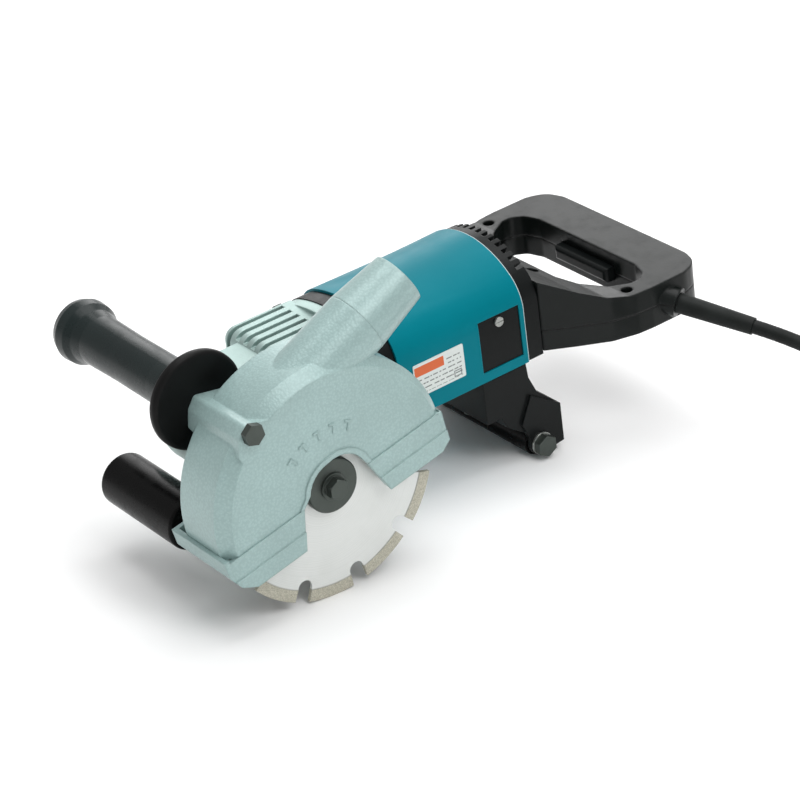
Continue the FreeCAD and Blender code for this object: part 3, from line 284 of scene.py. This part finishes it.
def hammered(name, base, rough=0.34, size=640.0):
    """Hammered enamel on a casting: shallow dimples, painted shade along the dimple pattern, painted
    glints, and lighter edges that are part wear and part painted highlight.
    """
    s = Shader(name)
    dimple = s.cells(size)
    small = s.noise(size * 2.4, 3.0, 0.6)
    broad = s.ranged(s.noise(22.0, 3.0), 0.35, 0.65)
    tone = s.mix(broad, scaled(base, 0.94), scaled(base, 1.05))
    # Painted shade: the tone darkens along the dimple pattern.
    dimple_shade = s.ranged(dimple, 0.25, 0.62)
    tone = s.mix(s.math("MULTIPLY", dimple_shade, 0.4), tone, scaled(base, 0.74))
    glint = s.ranged(small, 0.58, 0.75)
    tone = s.mix(s.math("MULTIPLY", glint, 0.4), tone, scaled(base, 1.4))
    # Edges lightened in patches: part wear, part painted highlight.
    worn_and_highlit = s.math("MULTIPLY", s.edges(0.0012), s.ranged(s.noise(85.0, 4.0), 0.3, 0.6))
    tone = s.mix(s.math("MULTIPLY", worn_and_highlit, 0.4), tone, scaled(base, 1.45))
    s.colour(tone)
    s.rough(s.ranged(small, 0.3, 0.7, rough - 0.06, rough + 0.08))
    s.bumps([(dimple, 0.00035, 0.32), (small, 0.00012, 0.35)], 0.0016)
    s.set(Metallic=0.12, Coat_Weight=0.2, Coat_Roughness=0.22)
    return s


def sand_cast(name, base):
    """Bare sand casting: coarse grain with a painted highlight on the edges."""
    s = Shader(name)
    grain = s.noise(1100.0, 4.0, 0.65)
    tone = s.mix(s.ranged(s.noise(30.0, 3.0), 0.3, 0.7), scaled(base, 0.85), scaled(base, 1.1))
    # Painted highlight: edges lightened.
    tone = s.mix(s.math("MULTIPLY", s.edges(0.001), 0.5), tone, scaled(base, 1.4))
    s.colour(tone)
    s.rough(s.ranged(grain, 0.3, 0.7, 0.38, 0.55))
    s.bumps([(grain, 0.0001, 0.4), (s.noise(160.0, 3.0), 0.0002, 0.15)], 0.0012)
    s.set(Metallic=0.55)
    return s


def steel(name, base, rough, metal=0.85, lines=(1.0, 1.0, 1.0), line_scale=700.0):
    """Metal with brushed lines, faint stains and bright edges that are part wear and part painted
    highlight.
    """
    s = Shader(name)
    brushed = s.noise(line_scale, 3.0, 0.6, lines)
    stain = s.ranged(s.noise(120.0, 4.0), 0.4, 0.7)
    tone = s.mix(brushed, scaled(base, 0.86), scaled(base, 1.12))
    tone = s.mix(s.math("MULTIPLY", stain, 0.25), tone, scaled(base, 0.6))
    # Edges lightened: part wear, part painted highlight.
    tone = s.mix(s.math("MULTIPLY", s.edges(0.0006), 0.5), tone, scaled(base, 1.5))
    s.colour(tone)
    s.rough(s.ranged(brushed, 0.3, 0.7, rough - 0.06, rough + 0.08))
    s.bumps([(brushed, 0.00005, 0.3)], 0.0005)
    s.set(Metallic=metal)
    return s


def blade(name):
    """Ground core with circular grinding lines; coarse diamond segments on the rim."""
    s = Shader(name)
    y = s.math("SUBTRACT", s.dot(s.place, (0.0, 1.0, 0.0)), SPINDLE.y)
    z = s.math("SUBTRACT", s.dot(s.place, (0.0, 0.0, 1.0)), SPINDLE.z)
    radius = s.math("SQRT", s.math("ADD", s.math("MULTIPLY", y, y), s.math("MULTIPLY", z, z)))
    ring = s.add("ShaderNodeTexNoise")
    ring.noise_dimensions = "1D"
    ring.inputs["Scale"].default_value = 1.0
    ring.inputs["Detail"].default_value = 3.0
    s.link(s.math("MULTIPLY", radius, 2600.0), ring.inputs["W"])
    lines = ring.outputs["Fac"]
    on_rim = s.math("GREATER_THAN", radius, SEGMENT_INNER_R)
    weld = s.band(radius, *WELD_BAND)
    grit = s.noise(1500.0, 4.0, 0.7)
    core = s.mix(s.ranged(lines, 0.3, 0.7), srgb(209, 212, 209), srgb(223, 225, 223))
    smudge = s.ranged(s.noise(55.0, 4.0), 0.45, 0.75)
    core = s.mix(s.math("MULTIPLY", smudge, 0.3), core, srgb(198, 201, 197))
    segment = s.mix(s.ranged(grit, 0.35, 0.65), srgb(150, 147, 132), srgb(206, 203, 188))
    tone = s.mix(on_rim, core, segment)
    tone = s.mix(s.math("MULTIPLY", weld, 0.45), tone, srgb(150, 148, 140))
    s.colour(tone)
    s.rough(s.math("ADD", s.ranged(lines, 0.3, 0.7, 0.3, 0.42), s.math("MULTIPLY", on_rim, 0.25)))
    s.bumps([(lines, 0.00003, 0.25), (s.math("MULTIPLY", grit, on_rim), 0.0003, 0.6)])
    s.set(Metallic=0.25)
    return s


LABEL_LOW = 11.0 * MM  # the rules are counted from this far below the label's middle
RULE_PITCH = 3.1 * MM


def label_print(name):
    """Printed film: pale ground, an orange block and plain grey rules with no lettering."""
    s = Shader(name)
    low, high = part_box("label_plate")
    middle = (Vector(low) + Vector(high)) / 2
    u = s.along(MOTOR_DIR, middle)
    v = s.along(MOTOR_UP, middle)
    ground = srgb(216, 222, 219)
    block = s.math("MULTIPLY", s.band(u, -18.5 * MM, 4.0 * MM), s.band(v, 2.8 * MM, 9.3 * MM))
    tone = s.mix(block, ground, srgb(214, 96, 40))
    row = s.math("MULTIPLY", s.math("ADD", v, LABEL_LOW), 1.0 / RULE_PITCH)
    ink_row = s.band(s.math("FRACT", row), 0.35, 0.62)
    broken = s.add("ShaderNodeTexNoise")
    broken.inputs["Scale"].default_value = 1.0
    broken.inputs["Detail"].default_value = 1.0
    spread = s.add("ShaderNodeCombineXYZ")
    s.link(s.math("MULTIPLY", u, 430.0), spread.inputs["X"])
    s.link(s.math("FLOOR", row), spread.inputs["Y"])
    s.link(spread.outputs["Vector"], broken.inputs["Vector"])
    ink = s.math("MULTIPLY", ink_row, s.math("GREATER_THAN", broken.outputs["Fac"], 0.47))
    right = s.band(u, 6.0 * MM, 17.0 * MM)
    left = s.math("MULTIPLY", s.band(u, -17.5 * MM, 17.0 * MM), s.math("LESS_THAN", v, 1.8 * MM))
    area = s.math("MAXIMUM", s.math("MULTIPLY", right, s.math("LESS_THAN", v, 8.6 * MM)), left)
    ink = s.math("MULTIPLY", ink, s.math("MULTIPLY", area, s.math("GREATER_THAN", v, -9.5 * MM)))
    tone = s.mix(s.math("MULTIPLY", ink, 0.8), tone, srgb(70, 76, 76))
    stamp = s.math("MULTIPLY", s.band(u, 10.5 * MM, 16.5 * MM), s.band(v, -9.0 * MM, -4.5 * MM))
    hole = s.math("MULTIPLY", s.band(u, 11.3 * MM, 15.7 * MM), s.band(v, -8.2 * MM, -5.3 * MM))
    tone = s.mix(s.math("MULTIPLY", s.math("SUBTRACT", stamp, hole), 0.8), tone, srgb(90, 96, 96))
    s.colour(tone)
    s.rough(s.ranged(s.noise(90.0, 3.0), 0.3, 0.7, 0.28, 0.38))
    s.bumps([(s.noise(500.0, 2.0), 0.00003, 0.2)])
    return s


def handle_plastic():
    """Handle shells: satin black with the joint line between the two halves."""
    base = srgb(15, 19, 18)
    s = moulded("handle_plastic", base, 0.33, 0.4, 0.6, 0.0022, 0.2)
    level = s.along(MOTOR_UP, SPINDLE)
    seam = s.band(level, *HANDLE_SEAM)
    old = s.bsdf.inputs["Base Color"].links[0].from_socket
    s.colour(s.mix(seam, old, srgb(4, 4, 4)))
    return s


def rubber(name, base, rough):
    """Matt rubber with a faint pale bloom."""
    s = Shader(name)
    bloom = s.ranged(s.noise(40.0, 4.0), 0.4, 0.7)
    s.colour(s.mix(bloom, base, scaled(base, 1.6)))
    s.rough(s.ranged(s.noise(150.0, 4.0), 0.3, 0.7, rough - 0.06, rough + 0.08))
    s.bumps([(s.noise(1300.0, 3.0, 0.6), 0.00007, 0.4)], 0.0006)
    s.set(Specular_IOR_Level=0.16)
    return s


def copper(name):
    """Enamelled wire laid side by side."""
    s = Shader(name)
    wire = s.noise(900.0, 2.0, 0.5, (0.15, 1.0, 1.0))
    s.colour(s.mix(wire, srgb(120, 52, 22), srgb(205, 120, 62)))
    s.rough(s.ranged(wire, 0.3, 0.7, 0.25, 0.4))
    s.bumps([(wire, 0.0002, 0.6)])
    s.set(Metallic=0.8)
    return s


MATERIALS = {
    "teal_plastic": teal_housing(),
    "black_plastic": moulded("black_plastic", srgb(14, 17, 17), 0.36),
    "handle_plastic": handle_plastic(),
    "grip_plastic": moulded("grip_plastic", srgb(22, 32, 32), 0.32, 0.3, 0.4, 0.0012, 0.24),
    "roller_plastic": moulded("roller_plastic", srgb(5, 5, 5), 0.3, 0.2, 0.3, shine=0.1),
    "soft_rubber": rubber("soft_rubber", srgb(22, 25, 24), 0.5),
    "disc_rubber": rubber("disc_rubber", srgb(7, 7, 7), 0.42),
    "hammered_paint": hammered("hammered_paint", srgb(154, 180, 178)),
    "cast_head": sand_cast("cast_head", srgb(162, 184, 180)),
    "blade_steel": blade("blade_steel"),
    "bright_steel": steel("bright_steel", srgb(175, 178, 174), 0.3),
    "dark_steel": steel("dark_steel", srgb(74, 80, 76), 0.42, 0.7),
    "core_steel": steel("core_steel", srgb(110, 112, 116), 0.4, 0.8, (1.0, 40.0, 1.0), 90.0),
    "copper_winding": copper("copper_winding"),
    "brass": steel("brass", srgb(205, 170, 90), 0.3),
    "carbon": rubber("carbon", srgb(28, 28, 29), 0.6),
    "label_white": label_print("label_white"),
}

SPECIAL = {
    "handle_upper": "handle_plastic",
    "handle_lower": "handle_plastic",
    "side_grip": "grip_plastic",
    "grip_flange": "disc_rubber",
    "clamp_bolt": "dark_steel",
    "rear_bolt": "dark_steel",
}


def dress_nodes():
    for part in frame["record"]["subparts"]:
        node = NODES[part["node"]]
        name = SPECIAL.get(part["node"], part["material_slot"])
        node.data.materials.clear()
        node.data.materials.append(MATERIALS[name].mat)


dress_nodes()

# ------------------------------------------------------------------ cord

CORD_R = 4.6 * MM
ROUTE = [
    (102.017, 197.694, 82.392),
    (136.424, 216.857, 75.397),
    (168.424, 232.357, 55.397),
    (198.424, 246.357, 19.897),
    (230.424, 254.357, 4.6),
    (266.424, 254.357, 4.6),
]
COIL_MEAN_R = 51.8 * MM
COIL_POINTS = 16  # control points in one turn
COIL_TURNS = 7.25
LAYER_STEP = 3  # turns from the outside of the bottom layer to its inside
PLUG_RUN = [(9 * MM, 13.2 * MM), (18 * MM, 13.0 * MM)]  # steps towards the plug, and heights


def coil_point(turn):
    """Bottom layer winds inwards, then the cord climbs and the top layer winds outwards."""
    end = Vector(ROUTE[-1]) * MM
    outer = COIL_MEAN_R + 3 * CORD_R
    centre = Vector((end.x, end.y - outer, 0.0))
    if turn <= LAYER_STEP:
        r = outer - 2 * CORD_R * turn
    else:
        r = outer - 2 * CORD_R * LAYER_STEP + 2 * CORD_R * max(0.0, turn - LAYER_STEP - 1)
    climb = min(1.0, max(0.0, (turn - LAYER_STEP) / 0.45))
    climb = climb * climb * (3 - 2 * climb)
    z = CORD_R + 2 * CORD_R * climb
    angle = math.pi / 2 - 2 * math.pi * turn
    return centre + Vector((r * math.cos(angle), r * math.sin(angle), z))


def make_cord():
    """One smooth curve: free stretch, coil, and the last run into the plug."""
    points = [Vector(p) * MM for p in ROUTE]
    count = int(COIL_TURNS * COIL_POINTS)
    for k in range(1, count + 1):
        points.append(coil_point(k / COIL_POINTS))
    last = points[-1]
    for back, height in PLUG_RUN:
        points.append(Vector((last.x, last.y - back, height)))
    curve = bpy.data.curves.new("mains_cord", "CURVE")
    curve.dimensions = "3D"
    curve.bevel_depth = CORD_R
    curve.bevel_resolution = 6
    curve.resolution_u = 10
    curve.use_fill_caps = True
    spline = curve.splines.new("NURBS")
    spline.points.add(len(points) - 1)
    for slot, point in zip(spline.points, points):
        slot.co = (point.x, point.y, point.z, 1.0)
    spline.order_u = 3
    spline.use_endpoint_u = True
    cord = bpy.data.objects.new("mains_cord", curve)
    bpy.context.scene.collection.objects.link(cord)
    curve.materials.append(MATERIALS["soft_rubber"].mat)
    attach(cord, "tool")
    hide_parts("cord_tube", "cord_coil")


make_cord()

# ------------------------------------------------------------------ floor and light


WORLD_STRENGTH = 0.58
LIGHT_AIM = (0.0, 0.0, 0.08)
LIGHTS = [
    ("key", (1.5, 0.1, 1.9), (1.2, 1.2), 17.0),
    ("overhead", (-0.25, 0.35, 2.0), (1.8, 1.8), 28.0),
    ("back_sheet", (-1.7, 1.35, 1.05), (1.9, 1.1), 16.0),
]


def make_floor():
    bpy.ops.mesh.primitive_plane_add(size=14.0, location=(0.0, 0.0, 0.0))
    floor = bpy.context.object
    floor.name = "floor"
    s = Shader("floor_paper")
    s.colour(s.mix(s.noise(3.0, 2.0), (0.93, 0.93, 0.93), (0.95, 0.95, 0.95)))
    s.rough(0.9)
    s.set(Specular_IOR_Level=0.1)
    floor.data.materials.append(s.mat)


def area_light(name, at, aim, size, power):
    data = bpy.data.lights.new(name, "AREA")
    data.shape = "RECTANGLE"
    data.size, data.size_y = size
    data.energy = power
    light = bpy.data.objects.new(name, data)
    light.location = at
    light.rotation_euler = (Vector(aim) - Vector(at)).to_track_quat("-Z", "Y").to_euler()
    bpy.context.scene.collection.objects.link(light)


def make_light():
    world = bpy.data.worlds.new("studio")
    world.use_nodes = True
    back = world.node_tree.nodes["Background"]
    back.inputs["Color"].default_value = (1.0, 1.0, 1.0, 1.0)
    back.inputs["Strength"].default_value = WORLD_STRENGTH
    bpy.context.scene.world = world
    for name, at, size, power in LIGHTS:
        area_light(name, at, LIGHT_AIM, size, power)


make_floor()
make_light()
scene = bpy.context.scene
scene.view_settings.view_transform = "Standard"
scene.view_settings.look = "None"
